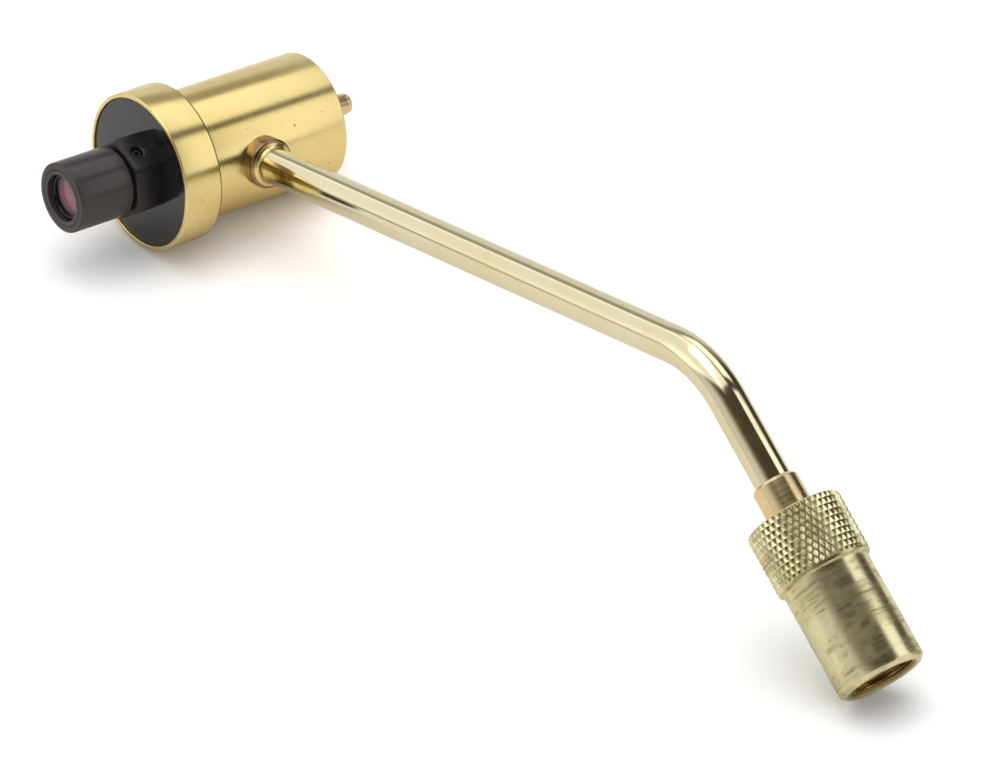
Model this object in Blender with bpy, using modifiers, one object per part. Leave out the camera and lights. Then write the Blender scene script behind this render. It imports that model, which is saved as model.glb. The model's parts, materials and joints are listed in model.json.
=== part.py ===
"""Brass torch head on a bent feed tube with a knurled union nut.

A round brass head carries a black face plate, a hexagonal holder and a nozzle barrel with
a glass window. A short sprung pin stands out of its rear face. A polished tube leaves the
side of the head, bends, and ends in a brazed nipple that holds a captive, knurled nut.

The object lies as it does on a table: on the rims of the collar and of the body, and on the
rim of the nut's mouth. Units are metres, +Z is up, the tube runs towards +X and the nozzle
points towards -Y. Lengths are in millimetres times MM.

Inside the resting attitude the head has a frame of its own: x along the tube, z along the
head's axis towards the nozzle, and z = 0 at the collar's rear face.
"""

import math

import bmesh
import bpy
from mathutils import Matrix, Vector

MM = 0.001
GAP = 0.3 * MM            # space between neighbouring pieces
ROUND = 48                # segments of a large round piece
FINE = 32                 # segments of a small round piece
SMALL = 24                # segments of the smallest round pieces
EDGE = 0.3 * MM           # rounding of the head's outer edges
SEAM = 0.2 * MM           # space between pieces that are held together

# Head: body and collar
BODY_R = 11.5 * MM
BODY_LENGTH = 28.5 * MM   # from the collar's rear face to the rear end
CHAMBER_R = 8.5 * MM
REAR_WALL = 4.5 * MM
SPIGOT_R = 10.6 * MM      # reduced front end, inside the collar
SPIGOT_TOP = 3.2 * MM
COLLAR_R = 14.0 * MM
COLLAR_LENGTH = 7.6 * MM
COLLAR_RIM = 0.7 * MM     # brass showing round the face plate
GASKET_R = (8.8 * MM, 10.4 * MM)
LOCKNUT_R = 7.2 * MM
LOCKNUT_THICK = 2.4 * MM
SLEEVE_HOLE_START = 5.5 * MM  # from the head's axis

# Face plate, holder and nozzle barrel, as heights along the head's axis
PLATE_R = COLLAR_R - COLLAR_RIM - GAP
PLATE_TOP = 7.3 * MM
PLATE_THICK = 2.2 * MM
HEX_ACROSS_FLATS = 13.0 * MM
HEX_TOP = 12.4 * MM
HEX_EDGE = 0.4 * MM
HEX_CORNER_ANGLE = math.radians(27.5)
STEM_R = 4.0 * MM
STEM_END = 0.4 * MM
BARREL_R = 6.25 * MM
BARREL_BACK = 13.4 * MM
BARREL_FRONT = 23.8 * MM
BARREL_EDGE = 0.25 * MM
BARREL_RING_R = 5.6 * MM
BARREL_RING_THICK = 0.5 * MM
NECK_R = 4.4 * MM
NECK_END = 8.6 * MM
APERTURE_R = 4.15 * MM
WINDOW_SEAT = 20.8 * MM
WINDOW_THICK = 1.2 * MM
KEEPER_BORE_R = 3.5 * MM
KEEPER_THICK = 0.6 * MM
LIGHT_BORE_R = 3.3 * MM
LIGHT_BORE_END = 16.5 * MM
RED_START = 17.0 * MM
RED_THICK = 1.3 * MM
FEED_BORE_R = 2.0 * MM
CLAMP_HOLE_R = 1.05 * MM
CLAMP_HOLE_DEPTH = 1.8 * MM  # inwards of the clamp screw's middle
CLAMP_HEIGHT = 9.9 * MM   # of the clamp screw, along the head's axis
CLAMP_REACH = 5.45 * MM   # of the clamp screw's middle, from the head's axis
CLAMP_SCREW_R = 0.75 * MM
CLAMP_SCREW_ENDS = (-0.75 * MM, 0.55 * MM)
SOCKET_R = 0.4 * MM
SOCKET_FLOOR = 0.05 * MM

# Rear pin
PIN_R = 1.9 * MM
PIN_OUT = 8.7 * MM        # beyond the body's rear face
PIN_GUIDE_R = 1.4 * MM
PIN_TIP_EDGE = 0.5 * MM
PIN_TRAVEL = 2.0 * MM
GROOVE_DEPTH = 0.4 * MM
CLIP_R = 3.0 * MM
CLIP_THICK = 0.8 * MM
CLIP_CLEAR = 0.7 * MM     # between the rear wall and the clip
SHOULDER = 0.5 * MM       # of the pin, in front of the clip's groove
LIP_THICK = 1.2 * MM      # rear wall behind the bush and the seal
GLAND_R = 3.5 * MM
BUSH_R = 3.2 * MM
BUSH_START = 3.0 * MM     # from the rear face
BUSH_PROUD = 0.4 * MM
SEAL_HEIGHT = 1.95 * MM   # of the seal's middle, from the rear face
SEAL_MIDDLE_R = 2.7 * MM
SEAL_WIRE_R = 0.45 * MM
SPRING_SPACE = 5.0 * MM
SPRING_WIRE_R = 0.25 * MM
SPRING_R = 2.35 * MM
SPRING_TURNS = 3
SEAT_THICK = 1.2 * MM

# Feed tube, sleeve and union
TUBE_R = 3.175 * MM
TUBE_WALL = 0.9 * MM
ARM_BEHIND = 10.8 * MM    # tube axis behind the collar's rear face
ARM_LENGTH = 130.8 * MM   # head's axis to the corner of the bend
BEND_ANGLE = math.radians(45.5)
BEND_R = 19.05 * MM
SLEEVE_R = 4.4 * MM
SLEEVE_OUT = 2.2 * MM     # beyond the body's surface
SLEEVE_EDGE = 0.4 * MM
SLEEVE_IN = 4.2 * MM      # the next two reach inwards from the body's surface
TUBE_IN = 3.4 * MM
BEND_STEPS = 9
FERRULE_R = 4.0 * MM
FERRULE_START = 23.2 * MM  # this and the next ones are measured from the bend's corner
FERRULE_EDGE = 0.2 * MM
TUBE_END = 32.2 * MM
NUT_START = 29.3 * MM
NUT_END = 59.8 * MM
NUT_TOP_WALL = 3.2 * MM
NUT_TOP_EDGE = 0.5 * MM
KNURL_LENGTH = 11.2 * MM
KNURL_R = 8.35 * MM
KNURL_EDGE = 0.2 * MM
NUT_R = 7.6 * MM
NUT_BORE_R = 5.45 * MM
MOUTH_CHAMFER = 0.8 * MM
THREAD_CHAMFER = 0.3 * MM
FLANGE_R = 5.1 * MM
FLANGE_THICK = 1.8 * MM
SEAL_WASHER_R = (2.4 * MM, 5.0 * MM)
SEAL_WASHER_THICK = 1.4 * MM

PLATE_BOTTOM = PLATE_TOP - PLATE_THICK
REAR = -BODY_LENGTH
WALL_FRONT = REAR + REAR_WALL
FLANGE_START = NUT_START + NUT_TOP_WALL + 4 * GAP
FLANGE_END = FLANGE_START + FLANGE_THICK

BRASS = ("satin_brass", (0.80, 0.62, 0.27), 0.32, 1.0)
POLISHED = ("polished_brass", (0.84, 0.74, 0.46), 0.10, 1.0)
NUT_BRASS = ("turned_brass", (0.72, 0.66, 0.40), 0.28, 1.0)
BRONZE = ("bronze", (0.76, 0.53, 0.36), 0.28, 1.0)
STEEL = ("spring_steel", (0.55, 0.56, 0.58), 0.30, 1.0)
BLACK = ("black_anodised", (0.035, 0.033, 0.036), 0.42, 0.0)
PLATE_BLACK = ("plate_black", (0.060, 0.056, 0.062), 0.48, 0.0)
RUBBER = ("black_rubber", (0.030, 0.030, 0.030), 0.70, 0.0)
GLASS = ("window_glass", (0.62, 0.42, 0.50), 0.05, 0.0)
RED = ("red_element", (0.55, 0.08, 0.16), 0.30, 0.0)
FIBRE = ("fibre", (0.36, 0.20, 0.14), 0.80, 0.0)


def clear_scene():
    for obj in list(bpy.data.objects):
        bpy.data.objects.remove(obj, do_unlink=True)
    for name in ("lampwork_torch", "cutters"):
        collection = bpy.data.collections.new(name)
        bpy.context.scene.collection.children.link(collection)


def material(spec):
    name, color, roughness, metallic = spec
    found = bpy.data.materials.get(name)
    if found:
        return found
    made = bpy.data.materials.new(name)
    made.use_nodes = True
    shader = made.node_tree.nodes["Principled BSDF"]
    shader.inputs["Base Color"].default_value = (*color, 1.0)
    shader.inputs["Roughness"].default_value = roughness
    shader.inputs["Metallic"].default_value = metallic
    return made


def add_part(name, mesh, parent, spec):
    """A named sub-part in the object's collection, hung on its axis empty."""
    part = bpy.data.objects.new(name, mesh)
    bpy.data.collections["lampwork_torch"].objects.link(part)
    part.parent = parent
    part.data.materials.append(material(spec))
    return part


def axis_empty(name, matrix, parent=None):
    empty = bpy.data.objects.new(name, None)
    empty.empty_display_size = 10 * MM
    bpy.data.collections["lampwork_torch"].objects.link(empty)
    empty.parent = parent
    empty.matrix_local = matrix
    return empty


def turned(name, profile, parent, spec, steps=ROUND):
    """A turned piece. A profile that leaves the axis is closed into a ring."""
    mesh = bpy.data.meshes.new(name)
    points = [(radius, 0.0, height) for radius, height in profile]
    edges = [(i, i + 1) for i in range(len(points) - 1)]
    if profile[0][0] > 0:
        edges.append((len(points) - 1, 0))
    mesh.from_pydata(points, edges, [])
    part = add_part(name, mesh, parent, spec)
    screw = part.modifiers.new("turn", "SCREW")
    screw.axis = "Z"
    screw.angle = math.tau
    screw.steps = steps
    screw.render_steps = steps
    screw.use_merge_vertices = True
    screw.merge_threshold = 0.001 * MM
    screw.use_smooth_shade = True
    return part


def ring(inner, outer, top, bottom):
    """Profile of a plain ring, down its outer side and up its bore."""
    return [(outer, top), (outer, bottom), (inner, bottom), (inner, top)]


def disc(radius, top, bottom):
    """Profile of a solid disc or rod."""
    return [(0, top), (radius, top), (radius, bottom), (0, bottom)]


def rounded(radius, height, size, upper):
    """An outer edge rounded by three points, in the profile's downward order."""
    corner = []
    for step in range(3):
        turn = math.radians(45 * step)
        if upper:
            corner.append((radius - size * (1 - math.sin(turn)), height - size * (1 - math.cos(turn))))
        else:
            corner.append((radius - size * (1 - math.cos(turn)), height + size * (1 - math.sin(turn))))
    return corner


def cylinder_cutter(name, radius, length, parent, matrix=Matrix(), steps=FINE):
    """A cylinder from its origin along local Z that only cuts."""
    mesh = bpy.data.meshes.new(name)
    shape = bmesh.new()
    bmesh.ops.create_cone(shape, cap_ends=True, segments=steps, radius1=radius, radius2=radius,
                          depth=length, matrix=Matrix.Translation((0, 0, length / 2)))
    shape.to_mesh(mesh)
    shape.free()
    cutter = bpy.data.objects.new(name, mesh)
    bpy.data.collections["cutters"].objects.link(cutter)
    cutter.parent = parent
    cutter.matrix_local = matrix
    cutter.hide_render = True
    cutter.display_type = "WIRE"
    return cutter


def boolean(part, cutter, operation="DIFFERENCE"):
    modifier = part.modifiers.new("cut", "BOOLEAN")
    modifier.operation = operation
    modifier.solver = "EXACT"
    modifier.object = cutter


# Resting attitude: the head lies on two rims and rolls until the nut's mouth touches down.

def rest_tilt():
    return math.atan((COLLAR_R - BODY_R) / BODY_LENGTH)


def union_direction():
    return Vector((math.cos(BEND_ANGLE), -math.sin(BEND_ANGLE), 0))


def bend_corner():
    return Vector((ARM_LENGTH, 0, -ARM_BEHIND))


def attitude(roll):
    """Head frame to world, with the tube raised by roll about the head's axis."""
    stand = Matrix.Rotation(math.radians(90), 4, "X")
    lift = Matrix.Rotation(-roll, 4, "Y")
    lean = Matrix.Rotation(-rest_tilt(), 4, "X")
    return lean @ lift @ stand


def axis_height():
    """Height of the head frame's origin over the table."""
    tilt = rest_tilt()
    return (COLLAR_R - EDGE) * math.cos(tilt) + EDGE - EDGE * math.sin(tilt)


def mouth_height(roll):
    """Height of the lowest point of the nut's mouth."""
    turn = attitude(roll)
    centre = bend_corner() + union_direction() * (NUT_END - MOUTH_CHAMFER)
    along = (turn @ union_direction()).z
    return axis_height() + (turn @ centre).z - NUT_R * math.sqrt(1 - along * along)


def rest_roll():
    low, high = math.radians(2), math.radians(30)
    for _ in range(60):
        middle = (low + high) / 2
        if mouth_height(middle) > 0:
            high = middle
        else:
            low = middle
    return (low + high) / 2


def head_pieces(axis):
    turned("collar_ring", collar_profile(), axis, BRASS)
    body = turned("head_body", body_profile(), axis, BRASS)
    sideways = Matrix.Translation((SLEEVE_HOLE_START, 0, -ARM_BEHIND)) @ Matrix.Rotation(
        math.radians(90), 4, "Y")
    boolean(body, cylinder_cutter("sleeve_hole", SLEEVE_R + GAP, 2 * SLEEVE_R, axis, sideways))
    turned("face_gasket", ring(*GASKET_R, PLATE_BOTTOM - GAP, SPIGOT_TOP + GAP), axis, RUBBER)
    turned("face_plate", ring(STEM_R + GAP, PLATE_R, PLATE_TOP, PLATE_BOTTOM), axis, PLATE_BLACK)
    lock_top = PLATE_BOTTOM - GAP
    turned("holder_locknut", ring(STEM_R + GAP, LOCKNUT_R, lock_top, lock_top - LOCKNUT_THICK), axis, STEEL)


def collar_profile():
    seat = COLLAR_R - COLLAR_RIM
    bore = SPIGOT_R + GAP
    floor = PLATE_BOTTOM - GAP
    profile = rounded(COLLAR_R, COLLAR_LENGTH, EDGE, True)
    profile += rounded(COLLAR_R, 0, EDGE, False)
    profile += [(bore, 0), (bore, floor), (seat, floor), (seat, COLLAR_LENGTH)]
    return profile


def body_profile():
    """Outside from the spigot to the rear, then back up through the pin's hole."""
    lip = REAR + LIP_THICK
    profile = [(SPIGOT_R, SPIGOT_TOP), (SPIGOT_R, -GAP)]
    profile += rounded(BODY_R, -GAP, EDGE / 2, True)
    profile += rounded(BODY_R, REAR, EDGE, False)
    profile += [(PIN_R + GAP, REAR), (PIN_R + GAP, lip), (GLAND_R, lip), (GLAND_R, WALL_FRONT)]
    profile += [(CHAMBER_R, WALL_FRONT), (CHAMBER_R, SPIGOT_TOP)]
    return profile


def nozzle_pieces(axis, clamp_axis):
    hex_holder(axis, clamp_axis)
    ring_back = (HEX_TOP + BARREL_BACK - BARREL_RING_THICK) / 2
    turned("barrel_ring", ring(NECK_R + SEAM, BARREL_RING_R, ring_back + BARREL_RING_THICK, ring_back),
           axis, RUBBER, FINE)
    turned("nozzle_barrel", barrel_profile(), axis, BLACK, ROUND)
    window_r = APERTURE_R - GAP
    window_back = WINDOW_SEAT + SEAM
    window_front = window_back + WINDOW_THICK
    turned("window_glass", disc(window_r, window_front, window_back), axis, GLASS, FINE)
    keeper_back = window_front + SEAM
    turned("window_retaining_ring", ring(KEEPER_BORE_R, window_r, keeper_back + KEEPER_THICK, keeper_back),
           axis, BLACK, FINE)
    turned("red_element", disc(LIGHT_BORE_R - GAP, RED_START + RED_THICK, RED_START), axis, RED, FINE)
    inner_end, outer_end = CLAMP_SCREW_ENDS
    screw = turned("clamp_screw", disc(CLAMP_SCREW_R, outer_end, inner_end), clamp_axis, BLACK, SMALL)
    socket = cylinder_cutter("screw_socket", SOCKET_R, outer_end, clamp_axis,
                             Matrix.Translation((0, 0, SOCKET_FLOOR)), 6)
    boolean(screw, socket)


def hex_holder(axis, clamp_axis):
    """Hexagonal block with a threaded stem behind it and the barrel's bore in front."""
    bottom = PLATE_TOP + GAP
    corner_r = HEX_ACROSS_FLATS / math.sqrt(3)
    shape = bmesh.new()
    from_cone = HEX_CORNER_ANGLE - math.radians(90)  # create_cone's first corner is on the Y axis
    place = Matrix.Translation((0, 0, (HEX_TOP + bottom) / 2)) @ Matrix.Rotation(from_cone, 4, "Z")
    bmesh.ops.create_cone(shape, cap_ends=True, segments=6, radius1=corner_r, radius2=corner_r,
                          depth=HEX_TOP - bottom, matrix=place)
    mesh = bpy.data.meshes.new("hex_holder")
    shape.to_mesh(mesh)
    shape.free()
    holder = add_part("hex_holder", mesh, axis, BLACK)
    bevel = holder.modifiers.new("edges", "BEVEL")
    bevel.width = HEX_EDGE
    bevel.segments = 2
    bevel.limit_method = "ANGLE"
    stem = cylinder_cutter("holder_stem", STEM_R, bottom + 2 * HEX_EDGE - STEM_END, axis,
                           Matrix.Translation((0, 0, STEM_END)))
    boolean(holder, stem, "UNION")
    bore = cylinder_cutter("barrel_bore", NECK_R + GAP, HEX_TOP - bottom, axis,
                           Matrix.Translation((0, 0, NECK_END - GAP)))
    boolean(holder, bore)
    feed = cylinder_cutter("feed_bore", FEED_BORE_R, HEX_TOP, axis)
    boolean(holder, feed)
    hole = cylinder_cutter("clamp_hole", CLAMP_HOLE_R, 2 * CLAMP_HOLE_DEPTH, clamp_axis,
                           Matrix.Translation((0, 0, -CLAMP_HOLE_DEPTH)), SMALL)
    boolean(holder, hole)


def barrel_profile():
    profile = rounded(BARREL_R, BARREL_FRONT, BARREL_EDGE, True)
    profile += [(BARREL_R, BARREL_BACK), (NECK_R, BARREL_BACK), (NECK_R, NECK_END)]
    profile += [(FEED_BORE_R, NECK_END), (FEED_BORE_R, LIGHT_BORE_END), (LIGHT_BORE_R, LIGHT_BORE_END)]
    profile += [(LIGHT_BORE_R, WINDOW_SEAT), (APERTURE_R, WINDOW_SEAT), (APERTURE_R, BARREL_FRONT)]
    return profile


def pin_pieces(axis):
    clip_back = WALL_FRONT + CLIP_CLEAR
    clip_front = clip_back + CLIP_THICK
    seat_back = clip_front + SPRING_SPACE
    turned("rear_pin", pin_profile(clip_back, clip_front, seat_back), axis, BRONZE, SMALL)
    groove = PIN_R - GROOVE_DEPTH
    turned("pin_clip", ring(groove + SEAM, CLIP_R, clip_front, clip_back), axis, STEEL, SMALL)
    turned("pin_bush", ring(PIN_R + SEAM, BUSH_R, WALL_FRONT + BUSH_PROUD, REAR + BUSH_START),
           axis, BRASS, SMALL)
    turned("pin_seal", seal_profile(), axis, RUBBER, SMALL)
    turned("spring_seat", ring(PIN_GUIDE_R + GAP, CHAMBER_R - GAP, seat_back + SEAT_THICK, seat_back),
           axis, BRASS, FINE)
    pin_spring(axis, clip_front + GAP, seat_back - GAP)


def pin_profile(clip_back, clip_front, seat_back):
    """From the front end, which stays clear of the spring seat's far side when pushed, to the tip."""
    tip = REAR - PIN_OUT
    groove = PIN_R - GROOVE_DEPTH
    guide_end = seat_back - GAP - PIN_TRAVEL
    groove_front = clip_front + GAP / 3
    groove_back = clip_back - GAP / 3
    profile = [(0, guide_end), (PIN_GUIDE_R, guide_end)]
    profile += [(PIN_GUIDE_R, groove_front + SHOULDER), (PIN_R, groove_front + SHOULDER)]
    profile += [(PIN_R, groove_front), (groove, groove_front), (groove, groove_back), (PIN_R, groove_back)]
    profile += rounded(PIN_R, tip, PIN_TIP_EDGE, False)
    profile += [(0, tip)]
    return profile


def seal_profile():
    middle = REAR + SEAL_HEIGHT
    profile = []
    for step in range(8):
        turn = math.radians(45 * step)
        profile.append((SEAL_MIDDLE_R + SEAL_WIRE_R * math.sin(turn), middle + SEAL_WIRE_R * math.cos(turn)))
    return profile


def pin_spring(axis, back, front):
    """Open coil between the pin's clip and the spring seat."""
    steps = 14
    curve = bpy.data.curves.new("pin_spring", "CURVE")
    curve.dimensions = "3D"
    curve.bevel_depth = SPRING_WIRE_R
    curve.bevel_resolution = 2
    curve.use_fill_caps = True
    line = curve.splines.new("POLY")
    count = SPRING_TURNS * steps + 1
    line.points.add(count - 1)
    for i in range(count):
        turn = math.tau * i / steps
        height = back + SPRING_WIRE_R + (front - back - 2 * SPRING_WIRE_R) * i / (count - 1)
        line.points[i].co = (SPRING_R * math.cos(turn), SPRING_R * math.sin(turn), height, 1)
    add_part("pin_spring", curve, axis, STEEL)


def tube_line():
    """Centre line of the feed tube, in the head frame."""
    corner = bend_corner()
    onward = union_direction()
    tangent = BEND_R * math.tan(BEND_ANGLE / 2)
    start = corner - Vector((tangent, 0, 0))
    centre = start - Vector((0, BEND_R, 0))
    points = [Vector((BODY_R - TUBE_IN, 0, -ARM_BEHIND))]
    for step in range(BEND_STEPS + 1):
        turn = BEND_ANGLE * step / BEND_STEPS
        points.append(centre + BEND_R * Vector((math.sin(turn), math.cos(turn), 0)))
    points.append(corner + onward * TUBE_END)
    return points


def arm_pieces(frame, arm_axis):
    top = BODY_R + SLEEVE_OUT
    inner_end = BODY_R - SLEEVE_IN
    profile = [(SLEEVE_R - SLEEVE_EDGE, top), (SLEEVE_R, top - SLEEVE_EDGE)]
    profile += [(SLEEVE_R, inner_end), (TUBE_R + GAP, inner_end), (TUBE_R + GAP, top)]
    turned("arm_sleeve", profile, arm_axis, BRONZE, FINE)

    curve = bpy.data.curves.new("arm_tube", "CURVE")
    curve.dimensions = "3D"
    curve.twist_mode = "Z_UP"
    curve.bevel_depth = TUBE_R
    curve.bevel_resolution = 4
    line = curve.splines.new("POLY")
    points = tube_line()
    line.points.add(len(points) - 1)
    for point, place in zip(line.points, points):
        point.co = (*place, 1)
    tube = add_part("arm_tube", curve, frame, POLISHED)
    wall = tube.modifiers.new("wall", "SOLIDIFY")
    wall.thickness = TUBE_WALL
    wall.offset = -1
    wall.use_even_offset = True


def union_pieces(axis):
    socket = TUBE_R + GAP
    step = -TUBE_END - GAP
    passage = TUBE_R - TUBE_WALL
    profile = [(FERRULE_R - FERRULE_EDGE, -FERRULE_START), (FERRULE_R, -FERRULE_START - FERRULE_EDGE)]
    profile += [(FERRULE_R, -FLANGE_START), (FLANGE_R, -FLANGE_START), (FLANGE_R, -FLANGE_END)]
    profile += [(passage, -FLANGE_END), (passage, step), (socket, step), (socket, -FERRULE_START)]
    turned("tube_ferrule", profile, axis, BRONZE, FINE)
    inner = NUT_START + NUT_TOP_WALL
    turned("slip_washer", ring(FERRULE_R + GAP, FLANGE_R, -inner - GAP, -FLANGE_START + GAP),
           axis, STEEL, FINE)
    seal_top = -FLANGE_END - GAP
    turned("seal_washer", ring(*SEAL_WASHER_R, seal_top, seal_top - SEAL_WASHER_THICK), axis, FIBRE, FINE)
    turned("swivel_nut", nut_profile(inner), axis, NUT_BRASS)


def nut_profile(inner):
    """The nut's z axis points back up the tube, so its mouth is at the bottom."""
    knurl_end = -NUT_START - KNURL_LENGTH
    profile = rounded(KNURL_R, -NUT_START, NUT_TOP_EDGE, True)
    profile += [(KNURL_R, knurl_end + KNURL_EDGE), (KNURL_R - KNURL_EDGE, knurl_end), (NUT_R, knurl_end)]
    profile += [(NUT_R, -NUT_END + MOUTH_CHAMFER), (NUT_R - MOUTH_CHAMFER, -NUT_END)]
    profile += [(NUT_BORE_R + THREAD_CHAMFER, -NUT_END), (NUT_BORE_R, -NUT_END + 2 * THREAD_CHAMFER)]
    profile += [(NUT_BORE_R, -inner), (FERRULE_R + GAP, -inner), (FERRULE_R + GAP, -NUT_START)]
    return profile


def frame_of(origin, z_axis):
    """Matrix with its z axis along the given direction."""
    matrix = z_axis.to_track_quat("Z", "Y").to_matrix().to_4x4()
    matrix.translation = origin
    return matrix


def clamp_frame():
    """At the clamp screw's middle, on the flat that faces up and along the tube."""
    angle = HEX_CORNER_ANGLE + math.radians(30)
    outward = Vector((math.cos(angle), math.sin(angle), 0))
    return frame_of(outward * CLAMP_REACH + Vector((0, 0, CLAMP_HEIGHT)), outward)


def settle(frame):
    """Centre the object's bounding box over the world origin, with its lowest point at z = 0."""
    bpy.context.view_layer.update()
    graph = bpy.context.evaluated_depsgraph_get()
    low = Vector((math.inf,) * 3)
    high = Vector((-math.inf,) * 3)
    for part in bpy.data.collections["lampwork_torch"].objects:
        if part.type == "EMPTY":
            continue
        shape = part.evaluated_get(graph)
        mesh = shape.to_mesh()
        for vertex in mesh.vertices:
            place = shape.matrix_world @ vertex.co
            low = Vector(map(min, low, place))
            high = Vector(map(max, high, place))
        shape.to_mesh_clear()
    centre = (low + high) / 2
    frame.location -= Vector((centre.x, centre.y, low.z))
    bpy.context.view_layer.update()


def main():
    clear_scene()
    rest = Matrix.Translation((0, 0, axis_height())) @ attitude(rest_roll())
    frame = axis_empty("head_axis", rest)
    clamp_axis = axis_empty("clamp_axis", clamp_frame(), frame)
    arm_axis = axis_empty("arm_axis", frame_of(Vector((0, 0, -ARM_BEHIND)), Vector((1, 0, 0))), frame)
    union_axis = axis_empty("union_axis", frame_of(bend_corner(), -union_direction()), frame)
    head_pieces(frame)
    nozzle_pieces(frame, clamp_axis)
    pin_pieces(frame)
    arm_pieces(frame, arm_axis)
    union_pieces(union_axis)
    settle(frame)


main()
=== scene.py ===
"""Looks of a brass torch head: turned brass, black nozzle parts, a polished bent tube and a
knurled union nut.

Every place comes from the frame: the head's axis from joint barrel_turn, the nut's axis from
joint nut_spin. Inside the head frame x runs along the tube, z along the head's axis towards the
nozzle, and z = 0 is the collar's rear face. The union frame's z points back up the tube.
Lengths are in millimetres times MM.
"""

import json
import math

import bmesh
import bpy
from mathutils import Matrix, Vector


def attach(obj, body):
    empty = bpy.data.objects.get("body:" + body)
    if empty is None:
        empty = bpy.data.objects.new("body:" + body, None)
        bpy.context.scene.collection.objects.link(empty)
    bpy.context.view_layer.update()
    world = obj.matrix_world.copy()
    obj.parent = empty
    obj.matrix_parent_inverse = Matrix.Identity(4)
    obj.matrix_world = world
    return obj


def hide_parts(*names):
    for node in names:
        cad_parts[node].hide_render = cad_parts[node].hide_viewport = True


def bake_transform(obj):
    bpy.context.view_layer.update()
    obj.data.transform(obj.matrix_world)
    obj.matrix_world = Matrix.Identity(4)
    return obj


MM = 0.001
ROUND = 128              # segments of a large round piece
FINE = 72                # segments of a small round piece
SHARP = math.radians(32)  # faces that meet more steeply than this keep a crisp edge

# Sizes that part.py also has, for shapes that a node's box doesn't give
BARREL_BACK = 13.4 * MM
ARM_BEHIND = 10.8 * MM
NUT_START = 29.3 * MM
NUT_END = 59.8 * MM
KNURL_END = 40.5 * MM
COLLAR_R = 14.0 * MM
COLLAR_LENGTH = 7.6 * MM
SEAT_R = 13.3 * MM
PLATE_TOP = 7.3 * MM
PLATE_BOTTOM = 5.1 * MM
BODY_R = 11.5 * MM
BODY_LENGTH = 28.5 * MM
REAR_WALL = 4.5 * MM
PIN_HOLE_R = 2.1 * MM
CHAMBER_R = 8.5 * MM
SPIGOT_R = 10.6 * MM
SPIGOT_TOP = 3.2 * MM
HEX_FLATS = 13.0 * MM
HEX_TOP = 12.4 * MM
HEX_TURN = math.radians(27.5)
STEM_R = 4.0 * MM
STEM_END = 0.4 * MM
CLAMP_HOLE_R = 1.05 * MM
SCREW_R = 0.9 * MM
BARREL_R = 6.25 * MM
BARREL_FRONT = 23.8 * MM
NECK_R = 4.4 * MM
NECK_END = 8.6 * MM
FEED_BORE_R = 2.0 * MM
LIGHT_BORE_R = 3.3 * MM
LIGHT_BORE_END = 16.5 * MM
RED_R = 3.0 * MM
RED_BACK = 17.0 * MM
RED_FRONT = 18.3 * MM
APERTURE_R = 4.15 * MM
WINDOW_SEAT = 20.8 * MM
WINDOW_BACK = 21.0 * MM
WINDOW_FRONT = 22.2 * MM
WINDOW_R = 3.85 * MM
KEEPER_BORE_R = 3.5 * MM
KEEPER_R = 4.02 * MM
PIN_R = 1.9 * MM
PIN_GUIDE_R = 1.4 * MM
PIN_FRONT = -13.2 * MM
PIN_SHOULDER = -21.9 * MM
CLIP_GROOVE_R = 1.5 * MM
CLIP_GROOVE_FRONT = -22.4 * MM
CLIP_GROOVE_BACK = -23.4 * MM
PIN_TIP = 37.2 * MM
SPRING_BACK = -22.2 * MM
SPRING_FRONT = -17.8 * MM
SPRING_R = 2.35 * MM
SPRING_WIRE_R = 0.25 * MM
SPRING_TURNS = 3
SPRING_STEPS = 24        # a turn
TUBE_R = 3.175 * MM
TUBE_BORE_R = 2.275 * MM
SLEEVE_R = 4.4 * MM
SLEEVE_OUT = 2.2 * MM
SLEEVE_DEPTH = 4.2 * MM
FERRULE_R = 4.0 * MM
FERRULE_START = 23.2 * MM
FLANGE_START = 33.7 * MM
FLANGE_END = 35.5 * MM
FLANGE_R = 5.1 * MM
BEND_R = 19.05 * MM
KNURL_R = 8.35 * MM
NUT_R = 7.6 * MM
NUT_BORE_R = 5.45 * MM
NUT_FLOOR = 32.5 * MM
FERRULE_SOCKET_END = 32.5 * MM
FERRULE_BORE_R = 2.2 * MM
KNURL_STARTS = 44
KNURL_PITCH = 2.15 * MM
KNURL_DEPTH = 0.42 * MM
THREAD_PITCH = 1.0 * MM
THREAD_DEPTH = 0.42 * MM
THREAD_LENGTH = 12.0 * MM

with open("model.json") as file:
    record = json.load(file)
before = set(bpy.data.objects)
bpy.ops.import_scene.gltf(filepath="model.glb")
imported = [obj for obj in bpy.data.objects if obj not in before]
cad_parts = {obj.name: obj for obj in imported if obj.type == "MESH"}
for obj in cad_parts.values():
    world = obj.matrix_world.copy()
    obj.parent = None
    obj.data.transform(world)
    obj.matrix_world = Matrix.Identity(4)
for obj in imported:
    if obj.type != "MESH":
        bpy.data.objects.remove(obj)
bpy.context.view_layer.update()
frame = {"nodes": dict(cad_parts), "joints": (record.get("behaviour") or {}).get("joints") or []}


# Frames

def joint(name):
    return next(j for j in frame["joints"] if j["name"] == name)


def matrix_from(x, y, z, origin):
    matrix = Matrix((x, y, z)).transposed().to_4x4()
    matrix.translation = origin
    return matrix


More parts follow.
